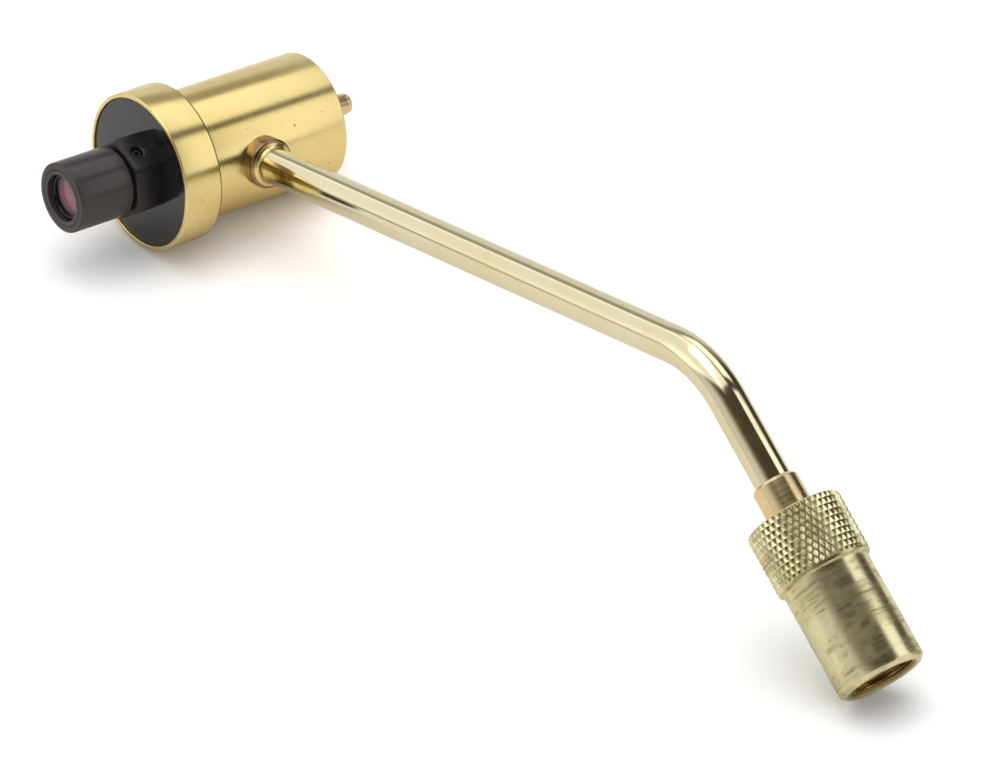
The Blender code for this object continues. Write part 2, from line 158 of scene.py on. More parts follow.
front = Vector(joint("barrel_turn")["axis"]).normalized()
head_origin = Vector(joint("barrel_turn")["pos_m"]) - front * BARREL_BACK
union_out = Vector(joint("nut_spin")["axis"]).normalized()
bend_corner = Vector(joint("nut_spin")["pos_m"]) - union_out * NUT_START
arm_root = head_origin - front * ARM_BEHIND
along = (bend_corner - arm_root).normalized()
upward = front.cross(along)
HEAD = matrix_from(along, upward, front, head_origin)
UNION = matrix_from(front, (-union_out).cross(front), -union_out, bend_corner)
ARM = matrix_from(upward, front, along, arm_root)
ARM_LENGTH = (bend_corner - arm_root).length
BEND_ANGLE = along.angle(union_out)
clamp_out = Vector(joint("clamp_screw_turn")["axis"]).normalized()
CLAMP = matrix_from(front.cross(clamp_out), -front, clamp_out,
                    Vector(joint("clamp_screw_turn")["pos_m"]))


# Shapes

def fillet(corners, arc_steps=5):
    """A profile whose corners (r, z, rounding) are replaced by arcs of that radius."""
    points = []
    count = len(corners)
    for i, corner in enumerate(corners):
        here = Vector(corner[:2])
        radius = corner[2] if len(corner) > 2 else 0
        if not radius:
            points.append(here)
            continue
        back = (Vector(corners[i - 1][:2]) - here).normalized()
        ahead = (Vector(corners[(i + 1) % count][:2]) - here).normalized()
        half = back.angle(ahead) / 2
        reach = radius / math.tan(half)
        middle = here + (back + ahead).normalized() * (radius / math.sin(half))
        start = here + back * reach - middle
        sweep = math.pi - 2 * half
        turn = 1 if start.cross(here + ahead * reach - middle) > 0 else -1
        for step in range(arc_steps + 1):
            spin = Matrix.Rotation(turn * sweep * step / arc_steps, 2)
            points.append(middle + spin @ start)
    return points


def finish_mesh(name, mesh, place, material):
    shape = bmesh.new()
    shape.from_mesh(mesh)
    bmesh.ops.recalc_face_normals(shape, faces=shape.faces)
    shape.to_mesh(mesh)
    shape.free()
    for face in mesh.polygons:
        face.use_smooth = True
    mesh.set_sharp_from_angle(angle=SHARP)
    mesh.materials.append(material)
    piece = bpy.data.objects.new(name, mesh)
    bpy.context.scene.collection.objects.link(piece)
    piece.matrix_world = place
    return piece


def ring_mesh(name, rows, closed):
    """Quads between rows of points, where a row of one point is a pole."""
    vertices = []
    starts = []
    for row in rows:
        starts.append(len(vertices))
        vertices.extend(row)
    faces = []
    pairs = list(zip(range(len(rows)), range(1, len(rows))))
    if closed:
        pairs.append((len(rows) - 1, 0))
    for upper, lower in pairs:
        a, b = starts[upper], starts[lower]
        n, m = len(rows[upper]), len(rows[lower])
        for i in range(max(n, m)):
            j = (i + 1) % max(n, m)
            if n == 1:
                faces.append((a, b + i, b + j))
            elif m == 1:
                faces.append((a + i, b, a + j))
            else:
                faces.append((a + i, b + i, b + j, a + j))
    mesh = bpy.data.meshes.new(name)
    mesh.from_pydata(vertices, [], faces)
    return mesh


def turned(name, corners, place, material, steps=ROUND):
    """A turned piece from (r, z, rounding) corners. A profile off the axis closes on itself."""
    profile = fillet(corners)
    rows = []
    for radius, height in profile:
        if radius < 1e-9:
            rows.append([(0, 0, height)])
            continue
        turns = [math.tau * i / steps for i in range(steps)]
        rows.append([(radius * math.cos(turn), radius * math.sin(turn), height) for turn in turns])
    mesh = ring_mesh(name, rows, closed=corners[0][0] > 1e-9)
    return finish_mesh(name, mesh, place, material)


def cut(piece, cutter):
    """Takes the cutter's shape out of the piece and removes the cutter."""
    modifier = piece.modifiers.new("cut", "BOOLEAN")
    modifier.solver = "EXACT"
    modifier.object = cutter
    bpy.context.view_layer.update()
    evaluated = piece.evaluated_get(bpy.context.evaluated_depsgraph_get())
    mesh = bpy.data.meshes.new_from_object(evaluated)
    piece.modifiers.clear()
    piece.data = mesh
    for face in mesh.polygons:
        face.use_smooth = True
    mesh.set_sharp_from_angle(angle=SHARP)
    bpy.data.objects.remove(cutter, do_unlink=True)


def cylinder(radius, low, high, place, steps=FINE):
    """A plain cylinder along local z, for cutting."""
    outline = [(0, high), (radius, high), (radius, low), (0, low)]
    return turned("cutter", outline, place, cutter_material, steps)


# Materials

class Nodes:
    """Short ways to add nodes to a node tree."""

    def __init__(self, tree):
        self.tree = tree

    def node(self, kind, **settings):
        made = self.tree.nodes.new(kind)
        for key, value in settings.items():
            setattr(made, key, value)
        return made

    def link(self, source, target):
        self.tree.links.new(source, target)

    def feed(self, socket, value):
        """Gives a socket a number, a colour or another node's output."""
        if isinstance(value, (int, float)):
            socket.default_value = value
        elif isinstance(value, tuple):
            socket.default_value = (*value, 1.0)
        else:
            self.link(value, socket)

    def spread(self, value, low, high, out_low=0.0, out_high=1.0):
        """Stretches low..high of a value to out_low..out_high, with soft ends."""
        ranged = self.node("ShaderNodeMapRange", interpolation_type="SMOOTHSTEP")
        limits = {"From Min": low, "From Max": high, "To Min": out_low, "To Max": out_high}
        for socket, number in limits.items():
            ranged.inputs[socket].default_value = number
        self.link(value, ranged.inputs["Value"])
        return ranged.outputs["Result"]

    def math(self, operation, a, b=0.0):
        made = self.node("ShaderNodeMath", operation=operation)
        self.feed(made.inputs[0], a)
        self.feed(made.inputs[1], b)
        return made.outputs[0]

    def mix(self, factor, first, second):
        made = self.node("ShaderNodeMix", data_type="RGBA")
        self.link(factor, made.inputs["Factor"])
        self.feed(made.inputs["A"], first)
        self.feed(made.inputs["B"], second)
        return made.outputs["Result"]

    def parts(self, vector):
        """The x, y and z of a vector, by name."""
        split = self.node("ShaderNodeSeparateXYZ")
        self.link(vector, split.inputs[0])
        return split.outputs


class Surface(Nodes):
    """A Principled material. Its place is in the piece's own axes: z runs along a turned piece."""

    def __init__(self, name, color, roughness, metallic=0.0, **constants):
        self.material = bpy.data.materials.new(name)
        self.material.use_nodes = True
        super().__init__(self.material.node_tree)
        self.shader = self.tree.nodes["Principled BSDF"]
        self.shader.inputs["Base Color"].default_value = (*color, 1.0)
        self.shader.inputs["Roughness"].default_value = roughness
        self.shader.inputs["Metallic"].default_value = metallic
        for socket, value in constants.items():
            self.shader.inputs[socket.replace("_", " ")].default_value = value
        self.place = self.node("ShaderNodeTexCoord").outputs["Object"]

    def noise(self, stretch, detail=3.0, roughness=0.5):
        """Noise whose grain per metre is given along x, y and z."""
        mapping = self.node("ShaderNodeMapping")
        mapping.inputs["Scale"].default_value = stretch
        self.link(self.place, mapping.inputs["Vector"])
        noise = self.node("ShaderNodeTexNoise")
        noise.inputs["Scale"].default_value = 1.0
        noise.inputs["Detail"].default_value = detail
        noise.inputs["Roughness"].default_value = roughness
        self.link(mapping.outputs["Vector"], noise.inputs["Vector"])
        return noise.outputs["Fac"]

    def color(self, value):
        self.link(value, self.shader.inputs["Base Color"])

    def rough(self, value):
        self.link(value, self.shader.inputs["Roughness"])

    def bump(self, height, strength, distance):
        made = self.node("ShaderNodeBump")
        made.inputs["Strength"].default_value = strength
        made.inputs["Distance"].default_value = distance
        self.link(height, made.inputs["Height"])
        self.link(made.outputs["Normal"], self.shader.inputs["Normal"])

    def height(self):
        """Place along the piece's axis."""
        return self.parts(self.place)["Z"]

    def ellipse(self, x_radius, y_radius):
        """Distance from the piece's axis squared, where the two radii count as 1."""
        place = self.parts(self.place)
        across = self.math("MULTIPLY", place["X"], 1 / x_radius)
        beside = self.math("MULTIPLY", place["Y"], 1 / y_radius)
        return self.math("ADD", self.math("MULTIPLY", across, across),
                         self.math("MULTIPLY", beside, beside))

    def radius(self):
        """Distance from the piece's axis."""
        return self.math("SQRT", self.ellipse(1.0, 1.0))

    def around(self):
        """Tangent round local z, for the highlight of turning marks."""
        tangent = self.node("ShaderNodeTangent", direction_type="RADIAL", axis="Z")
        self.link(tangent.outputs["Tangent"], self.shader.inputs["Tangent"])


def satin_brass(name, painted_shade_below=None):
    """Yellow brass with fine turning marks, a little handling dulling and rare specks. Below a given
    height its colour is painted dark: painted shade and a dark reflection, as in the corner behind an
    edge."""
    s = Surface(name, (0.93, 0.79, 0.38), 0.2, 1.0, Anisotropic=0.6, Anisotropic_Rotation=0.25)
    s.around()
    marks = s.noise((60, 60, 9000), 4.0, 0.6)
    handling = s.noise((130, 130, 90), 4.0, 0.55)
    specks = s.spread(s.noise((900, 900, 900), 1.0), 0.76, 0.80)
    tone = s.mix(s.spread(handling, 0.3, 0.7), (0.97, 0.77, 0.32), (0.99, 0.82, 0.37))
    tone = s.mix(specks, tone, (0.45, 0.31, 0.12))
    # Painted shade: below the given height the colour turns dark brown, standing in for shade and a
    # dark reflection at the edge
    if painted_shade_below is not None:
        corner = s.spread(s.height(), painted_shade_below, painted_shade_below + 0.1 * MM, 1.0, 0.0)
        tone = s.mix(corner, tone, (0.26, 0.18, 0.07))
    s.color(tone)
    s.rough(s.math("ADD", s.spread(marks, 0.3, 0.7, 0.22, 0.25),
                   s.spread(handling, 0.35, 0.75, 0.0, 0.06)))
    s.bump(marks, 0.035, 0.006 * MM)
    return s.material


def polished_brass(name):
    """Pale polished tube with faint drawing lines and shallow ripples."""
    s = Surface(name, (0.95, 0.88, 0.62), 0.08, 1.0)
    lines = s.noise((1600, 1600, 25), 3.0, 0.6)
    ripple = s.noise((110, 110, 60), 2.0)
    dull = s.noise((70, 70, 45), 4.0, 0.6)
    s.color(s.mix(s.spread(dull, 0.35, 0.7), (0.96, 0.89, 0.62), (0.92, 0.82, 0.51)))
    s.rough(s.math("ADD", s.spread(dull, 0.4, 0.75, 0.09, 0.17),
                   s.spread(lines, 0.4, 0.7, 0.0, 0.05)))
    s.bump(s.math("ADD", ripple, s.math("MULTIPLY", lines, 0.02)), 0.25, 0.08 * MM)
    return s.material


def turned_brass(name):
    """Greenish brass with streaky turning marks and worn patches, and painted shade in the bore and
    thread.
    """
    s = Surface(name, (0.90, 0.84, 0.53), 0.2, 1.0, Anisotropic=0.3, Anisotropic_Rotation=0.25)
    s.around()
    streaks = s.noise((110, 110, 1500), 4.0, 0.6)
    patches = s.noise((190, 190, 260), 4.0, 0.6)
    tone = s.mix(s.spread(patches, 0.38, 0.66), (0.93, 0.87, 0.54), (0.76, 0.70, 0.40))
    worn = s.math("MULTIPLY", s.spread(streaks, 0.46, 0.64), s.spread(patches, 0.44, 0.60))
    tone = s.mix(worn, tone, (0.46, 0.40, 0.19))
    # Painted shade: the bore and thread are darkened to brown in colour, standing in for the shade
    # inside the nut
    inside = s.spread(s.radius(), NUT_BORE_R + 0.35 * MM, NUT_BORE_R + 0.65 * MM, 1.0, 0.0)
    s.color(s.mix(inside, tone, (0.50, 0.33, 0.13)))
    s.rough(s.math("ADD", s.spread(streaks, 0.3, 0.7, 0.22, 0.29),
                   s.spread(patches, 0.42, 0.62, 0.0, 0.12)))
    s.bump(streaks, 0.05, 0.02 * MM)
    return s.material


def bronze(name, tone=(1.0, 0.83, 0.50), darker=(0.96, 0.74, 0.40)):
    """Copper-coloured alloy, turned, with a warm heat tint in places."""
    s = Surface(name, (0.93, 0.74, 0.48), 0.2, 1.0, Anisotropic=0.4, Anisotropic_Rotation=0.25)
    s.around()
    marks = s.noise((80, 80, 5000), 3.0, 0.6)
    tint = s.noise((160, 160, 160), 3.0)
    s.color(s.mix(s.spread(tint, 0.35, 0.7), tone, darker))
    s.rough(s.spread(marks, 0.3, 0.7, 0.20, 0.28))
    s.bump(marks, 0.08, 0.015 * MM)
    return s.material


def black_satin(name, tone, roughness, grain=2500, ior=1.5, worn=1.6, relief=0.2):
    """Satin black with a fine grain, faint turning marks and slight wear."""
    s = Surface(name, tone, roughness, 0.0, IOR=ior)
    fine = s.noise((grain, grain, grain), 2.0)
    marks = s.noise((80, 80, 6000), 3.0, 0.6)
    wear = s.noise((200, 200, 200), 4.0, 0.6)
    lighter = tuple(c * worn for c in tone)
    s.color(s.mix(s.spread(wear, 0.45, 0.75), tone, lighter))
    swing = relief * 0.28
    s.rough(s.math("ADD", s.spread(marks, 0.3, 0.7, roughness - swing, roughness + swing),
                   s.spread(fine, 0.4, 0.7, 0.0, relief * 0.25)))
    s.bump(s.math("ADD", fine, marks), relief, 0.012 * MM)
    return s.material


def steel(name):
    s = Surface(name, (0.55, 0.56, 0.58), 0.3, 1.0)
    marks = s.noise((200, 200, 4000), 3.0, 0.6)
    s.rough(s.spread(marks, 0.3, 0.7, 0.22, 0.4))
    s.bump(marks, 0.2, 0.01 * MM)
    return s.material


def rubber(name):
    s = Surface(name, (0.022, 0.022, 0.023), 0.65, 0.0)
    dust = s.noise((900, 900, 900), 4.0, 0.6)
    s.color(s.mix(s.spread(dust, 0.45, 0.75), (0.018, 0.018, 0.019), (0.05, 0.05, 0.05)))
    s.bump(dust, 0.2, 0.02 * MM)
    return s.material


def fibre(name):
    s = Surface(name, (0.30, 0.16, 0.10), 0.8, 0.0)
    strands = s.noise((2600, 700, 700), 4.0, 0.7)
    s.color(s.mix(strands, (0.20, 0.10, 0.06), (0.42, 0.25, 0.16)))
    s.bump(strands, 0.4, 0.03 * MM)
    return s.material


def coated_glass(name):
    """Window with a violet-grey coating and an uneven red bloom at its middle, both painted
    reflection: what the coated glass shows in reflection is put into its colour.
    """
    s = Surface(name, (0.20, 0.13, 0.16), 0.08, 0.0, IOR=1.5, Transmission_Weight=0.15)
    smudge = s.noise((420, 300, 300), 4.0, 0.6)
    grey = s.mix(s.spread(smudge, 0.35, 0.7), (0.24, 0.16, 0.19), (0.17, 0.12, 0.14))
    bloom = s.spread(s.ellipse(1.7 * MM, 2.6 * MM), 1.5, 0.0)
    patches = s.spread(s.noise((350, 800, 300), 1.0), 0.30, 0.68)
    # Painted reflection: the violet-grey and the red bloom stand in for what the coated lens reflects
    s.color(s.mix(s.math("MULTIPLY", bloom, patches), grey, (0.42, 0.05, 0.11)))
    s.rough(s.spread(smudge, 0.35, 0.75, 0.05, 0.20))
    return s.material


def red_enamel(name):
    """Dark red, in uneven streaks across the face."""
    s = Surface(name, (0.45, 0.04, 0.12), 0.35, 0.0)
    streaks = s.noise((900, 260, 300), 3.0, 0.6)
    s.color(s.mix(s.spread(streaks, 0.38, 0.62), (0.30, 0.10, 0.16), (0.75, 0.03, 0.16)))
    return s.material


cutter_material = bpy.data.materials.new("cutter")
BODY_BRASS = satin_brass("satin_brass_look")
# The collar gets a painted shade line, dark brown, along its rounded rear edge
COLLAR_BRASS = satin_brass("collar_brass_look", painted_shade_below=0.36 * MM)
TUBE_BRASS = polished_brass("polished_brass_look")
NUT_BRASS = turned_brass("turned_brass_look")
BRONZE = bronze("bronze_look")
BRAZE = satin_brass("braze_look")
BLACK = black_satin("black_look", (0.010, 0.008, 0.008), 0.40)
BARREL_BLACK = black_satin("barrel_look", (0.028, 0.023, 0.023), 0.25, grain=4000, worn=1.3,
                           relief=0.03)
GLOSS_BLACK = black_satin("gloss_black_look", (0.010, 0.010, 0.010), 0.16)
PLATE_BLACK = black_satin("plate_look", (0.011, 0.009, 0.011), 0.11, ior=1.75)
# The sleeve's bronze is a much darker copy of the ferrule's: painted shade and dark reflection for
# the brown the boss shows
SLEEVE_SHADED_BRONZE = bronze("sleeve_look", (0.46, 0.33, 0.17), (0.32, 0.20, 0.11))
PIN_COPPER = bronze("pin_look", (0.97, 0.74, 0.44), (0.88, 0.60, 0.32))
STEEL = steel("steel_look")
RUBBER = rubber("rubber_look")
FIBRE = fibre("fibre_look")
GLASS = coated_glass("window_look")
RED = red_enamel("red_look")


# Pieces of the head

def head_pieces():
    rear = -BODY_LENGTH
    body = turned("body_shell", [
        (SPIGOT_R, SPIGOT_TOP, 0.3 * MM), (SPIGOT_R, -0.2 * MM), (BODY_R, -0.2 * MM, 0.12 * MM),
        (BODY_R, rear, 0.3 * MM), (PIN_HOLE_R + 0.5 * MM, rear, 0.1 * MM),
        (PIN_HOLE_R, rear + 0.45 * MM), (PIN_HOLE_R, rear + REAR_WALL),
        (CHAMBER_R, rear + REAR_WALL, 0.5 * MM), (CHAMBER_R, SPIGOT_TOP)],
        HEAD, BODY_BRASS)
    cut(body, cylinder(SLEEVE_R - 0.02 * MM, CHAMBER_R - 3 * MM, BODY_R + 4 * MM, ARM))
    belong(body, "head", "satin_brass", "head_body")
    floor = PLATE_BOTTOM - 0.05 * MM
    collar = turned("collar_shell", [
        (COLLAR_R, COLLAR_LENGTH, 0.25 * MM), (COLLAR_R, 0, 0.42 * MM), (SPIGOT_R + 0.05 * MM, 0),
        (SPIGOT_R + 0.05 * MM, floor), (SEAT_R, floor), (SEAT_R, COLLAR_LENGTH, 0.12 * MM)],
        HEAD, COLLAR_BRASS)
    belong(collar, "head", "satin_brass", "collar_ring")
    plate = turned("face_disc", [
        (STEM_R + 0.1 * MM, PLATE_TOP), (SEAT_R - 0.08 * MM, PLATE_TOP, 0.15 * MM),
        (SEAT_R - 0.08 * MM, PLATE_BOTTOM), (STEM_R + 0.1 * MM, PLATE_BOTTOM)], HEAD, PLATE_BLACK)
    belong(plate, "head", "plate_black", "face_plate")
    holder_piece()
    pin = turned("pin_rod", [
        (0, PIN_FRONT), (PIN_GUIDE_R, PIN_FRONT, 0.2 * MM), (PIN_GUIDE_R, PIN_SHOULDER),
        (PIN_R, PIN_SHOULDER), (PIN_R, CLIP_GROOVE_FRONT), (CLIP_GROOVE_R, CLIP_GROOVE_FRONT),
        (CLIP_GROOVE_R, CLIP_GROOVE_BACK), (PIN_R, CLIP_GROOVE_BACK),
        (PIN_R, -PIN_TIP + 1.3 * MM), (PIN_R - 0.06 * MM, -PIN_TIP + 1.15 * MM),
        (PIN_R - 0.06 * MM, -PIN_TIP, 0.7 * MM), (0, -PIN_TIP)], HEAD, PIN_COPPER, FINE)
    belong(pin, "pin", "bronze", "rear_pin")


def spring_piece():
    """The rear pin's coil spring, which shortens between the pin's clip and the head's seat."""
    wire_sides = 10
    steps = SPRING_TURNS * SPRING_STEPS
    rise = (SPRING_FRONT - SPRING_BACK - 2 * SPRING_WIRE_R) / steps
    middles = []
    rows = []
    for i in range(steps + 1):
        outward = Matrix.Rotation(math.tau * i / SPRING_STEPS, 3, "Z") @ Vector((1, 0, 0))
        middle = outward * SPRING_R + Vector((0, 0, SPRING_BACK + SPRING_WIRE_R + rise * i))
        middles.append(tuple(middle))
        wire = []
        for k in range(wire_sides):
            side = math.tau * k / wire_sides
            away = outward * math.cos(side) + Vector((0, 0, math.sin(side)))
            wire.append(tuple(middle + away * SPRING_WIRE_R))
        rows.append(wire)
    rows = [[middles[0]], *rows, [middles[-1]]]
    spring = finish_mesh("coil_spring", ring_mesh("coil_spring", rows, closed=False), HEAD, STEEL)
    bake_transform(spring)
    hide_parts("pin_spring")


def holder_piece():
    """The hexagon, with broken edges, its stem, the barrel's bore and the clamp screw's hole."""
    bottom = PLATE_TOP - 0.5 * MM
    corner_r = HEX_FLATS / math.sqrt(3)
    shape = bmesh.new()
    place = (Matrix.Translation((0, 0, (HEX_TOP + bottom) / 2))
             @ Matrix.Rotation(HEX_TURN - math.radians(90), 4, "Z"))
    bmesh.ops.create_cone(shape, cap_ends=True, segments=6, radius1=corner_r, radius2=corner_r,
                          depth=HEX_TOP - bottom, matrix=place)
    mesh = bpy.data.meshes.new("holder_block")
    shape.to_mesh(mesh)
    shape.free()
    block = finish_mesh("holder_block", mesh, HEAD, BLACK)
    bevel = block.modifiers.new("edges", "BEVEL")
    bevel.width = 0.6 * MM
    bevel.segments = 3
    bevel.limit_method = "ANGLE"
    cut(block, cylinder(NECK_R + 0.12 * MM, NECK_END - 0.3 * MM, HEX_TOP + 1 * MM, HEAD))
    cut(block, cylinder(CLAMP_HOLE_R, -1.3 * MM, 3 * MM, CLAMP))
    countersink = [(0, 3 * MM), (1.7 * MM, 3 * MM), (1.7 * MM, 1.25 * MM), (0.9 * MM, 0.75 * MM),
                   (0, 0.75 * MM)]
    cut(block, turned("cutter", countersink, CLAMP, cutter_material, FINE))
    belong(block, "head", "black_anodised", "hex_holder")
    stem = turned("holder_stem", [
        (STEM_R, bottom - 0.02 * MM), (STEM_R, STEM_END, 0.3 * MM), (FEED_BORE_R, STEM_END),
        (FEED_BORE_R, bottom - 0.02 * MM)], HEAD, BLACK, FINE)
    belong(stem, "head", "black_anodised", "hex_holder")
    screw = turned("clamp_screw_body", [
        (0, 0.55 * MM), (SCREW_R, 0.55 * MM, 0.12 * MM), (SCREW_R, -0.75 * MM, 0.1 * MM),
        (0, -0.75 * MM)], CLAMP, BLACK, FINE)
    cut(screw, cylinder(0.45 * MM, 0.0, 1 * MM, CLAMP, 6))
    belong(screw, "screw", "black_anodised", "clamp_screw")


def barrel_pieces():
    groove = BARREL_FRONT - 0.12 * MM
    back = BARREL_BACK - 0.22 * MM
    barrel = turned("barrel_shell", [
        (APERTURE_R, BARREL_FRONT, 0.12 * MM), (4.9 * MM, BARREL_FRONT), (4.98 * MM, groove),
        (5.08 * MM, groove), (5.16 * MM, BARREL_FRONT), (BARREL_R, BARREL_FRONT, 0.3 * MM),
        (BARREL_R, back, 0.15 * MM), (NECK_R, back), (NECK_R, NECK_END, 0.2 * MM),
        (FEED_BORE_R, NECK_END), (FEED_BORE_R, LIGHT_BORE_END), (LIGHT_BORE_R, LIGHT_BORE_END),
        (LIGHT_BORE_R, WINDOW_SEAT), (APERTURE_R, WINDOW_SEAT)], HEAD, BARREL_BLACK)
    belong(barrel, "barrel", "black_anodised", "nozzle_barrel")
    window = turned("window_lens", [
        (0, WINDOW_FRONT), (1.5 * MM, WINDOW_FRONT - 0.03 * MM), (2.8 * MM, WINDOW_FRONT - 0.11 * MM),
        (WINDOW_R, WINDOW_FRONT - 0.22 * MM, 0.05 * MM), (WINDOW_R, WINDOW_BACK, 0.05 * MM),
        (0, WINDOW_BACK)], HEAD, GLASS, FINE)
    belong(window, "barrel", "window_glass", "window_glass")
    low = WINDOW_FRONT + 0.12 * MM
    high = low + 0.55 * MM
    keeper = turned("window_keeper", [
        (KEEPER_BORE_R, high, 0.2 * MM), (KEEPER_R, high, 0.2 * MM), (KEEPER_R, low, 0.1 * MM),
        (KEEPER_BORE_R, low, 0.1 * MM)], HEAD, GLOSS_BLACK, FINE)
    notch = box_cutter((9 * MM, 0.7 * MM, 0.8 * MM), (0, 0, low + 0.65 * MM), math.radians(200))
    cut(keeper, notch)
    belong(keeper, "barrel", "black_anodised", "window_retaining_ring")
    red = turned("red_disc", [
        (0, RED_FRONT), (RED_R, RED_FRONT, 0.1 * MM), (RED_R, RED_BACK), (0, RED_BACK)],
        HEAD, RED, FINE)
    belong(red, "barrel", "red_element", "red_element")


def box_cutter(size, middle, turn):
    """A block round the head's axis, for cutting."""
    shape = bmesh.new()
    place = Matrix.Translation(middle) @ Matrix.Diagonal((*size, 1))
    bmesh.ops.create_cube(shape, size=1.0, matrix=place)
    mesh = bpy.data.meshes.new("cutter")
    shape.to_mesh(mesh)
    shape.free()
    return finish_mesh("cutter", mesh, HEAD @ Matrix.Rotation(turn, 4, "Z"), cutter_material)


# Tube, sleeve and union

def arm_pieces():
    top = BODY_R + SLEEVE_OUT
    foot = BODY_R - SLEEVE_DEPTH
    bore = TUBE_R + 0.02 * MM
    sleeve = turned("sleeve_boss", [
        (3.9 * MM, top, 0.1 * MM), (SLEEVE_R, top - 0.05 * MM, 0.5 * MM), (SLEEVE_R, foot),
        (bore, foot), (bore, top - 0.5 * MM), (3.8 * MM, top - 0.12 * MM)],
        ARM, SLEEVE_SHADED_BRONZE, FINE)
    belong(sleeve, "head", "bronze", "arm_sleeve")
    solder = turned("sleeve_solder", [
        (bore, top + 0.95 * MM), (bore + 0.04 * MM, top + 0.75 * MM),
        (bore + 0.13 * MM, top + 0.45 * MM), (bore + 0.32 * MM, top + 0.2 * MM),
        (bore + 0.6 * MM, top + 0.06 * MM), (3.88 * MM, top - 0.03 * MM, 0.05 * MM),
        (3.8 * MM, top - 0.3 * MM), (bore, top - 0.5 * MM)],
        ARM, BRAZE, FINE)
    belong(solder, "head", "bronze", "arm_sleeve")
    belong(tube_piece(), "head", "polished_brass", "arm_tube")
    socket_r = TUBE_R + 0.05 * MM
    ferrule = turned("ferrule_body", [
        (socket_r, -FERRULE_START, 0.05 * MM), (FERRULE_R - 0.45 * MM, -FERRULE_START, 0.1 * MM),
        (FERRULE_R, -FERRULE_START - 0.5 * MM, 0.15 * MM), (FERRULE_R, -NUT_START - 1 * MM),
        (FERRULE_R, -FLANGE_START), (FLANGE_R, -FLANGE_START, 0.1 * MM),
        (FLANGE_R, -FLANGE_END, 0.1 * MM), (FERRULE_BORE_R, -FLANGE_END, 0.1 * MM),
        (FERRULE_BORE_R, -FERRULE_SOCKET_END), (socket_r, -FERRULE_SOCKET_END)],
        UNION, BRONZE, FINE)
    belong(ferrule, "head", "bronze", "tube_ferrule")


def tube_piece():
    """Polished tube: straight, bent and straight again, a touch oval in the bend."""
    tangent = BEND_R * math.tan(BEND_ANGLE / 2)
    straight = ARM_LENGTH - tangent
    start = BODY_R - 3.4 * MM
    straight_steps, bend_steps, last_steps, steps = 24, 40, 8, 96
    rise = (straight - start) / straight_steps
    stations = [(Vector((0, 0, start + rise * i)), 0.0) for i in range(straight_steps + 1)]
    for i in range(1, bend_steps + 1):
        turn = BEND_ANGLE * i / bend_steps
        place = Vector((-BEND_R * (1 - math.cos(turn)), 0, straight + BEND_R * math.sin(turn)))
        stations.append((place, turn))
    corner = stations[-1][0]
    heading = Vector((-math.sin(BEND_ANGLE), 0, math.cos(BEND_ANGLE)))
    last = FERRULE_START + 9 * MM - tangent
    for i in range(1, last_steps + 1):
        stations.append((corner + heading * last * i / last_steps, BEND_ANGLE))

    def row(place, turn, radius):
        oval = 0.03 * math.sin(math.pi * turn / BEND_ANGLE)
        inward = Vector((math.cos(turn), 0, math.sin(turn)))
        points = []
        for i in range(steps):
            angle = math.tau * i / steps
            across = math.cos(angle) * radius * (1 - oval)
            beside = math.sin(angle) * radius * (1 + oval * 0.3)
            points.append(tuple(place + inward * across + Vector((0, beside, 0))))
        return points

    outer = [row(place, turn, TUBE_R) for place, turn in stations]
    inner = [row(place, turn, TUBE_BORE_R) for place, turn in reversed(stations)]
    mesh = ring_mesh("feed_tube", outer + inner, closed=True)
    return finish_mesh("feed_tube", mesh, ARM, TUBE_BRASS)


def knurl_height(starts_round, rows_up):
    """Remaining height, 0 to 1, of a crossed knurl at a place counted in pitches."""
    def tooth(phase):
        away = abs((phase % 1.0) - 0.5) * 2
        return min(1.0, away * 1.06)
    return min(tooth(starts_round + rows_up), tooth(starts_round - rows_up))


def thread_radius(angle, depth):
    """Bore radius of a V thread with flattened crests and roots."""
    phase = (depth / THREAD_PITCH + angle / math.tau) % 1.0
    wave = 1 - abs(2 * phase - 1)
    return NUT_BORE_R + THREAD_DEPTH * min(1.0, max(0.0, wave * 1.5 - 0.3))


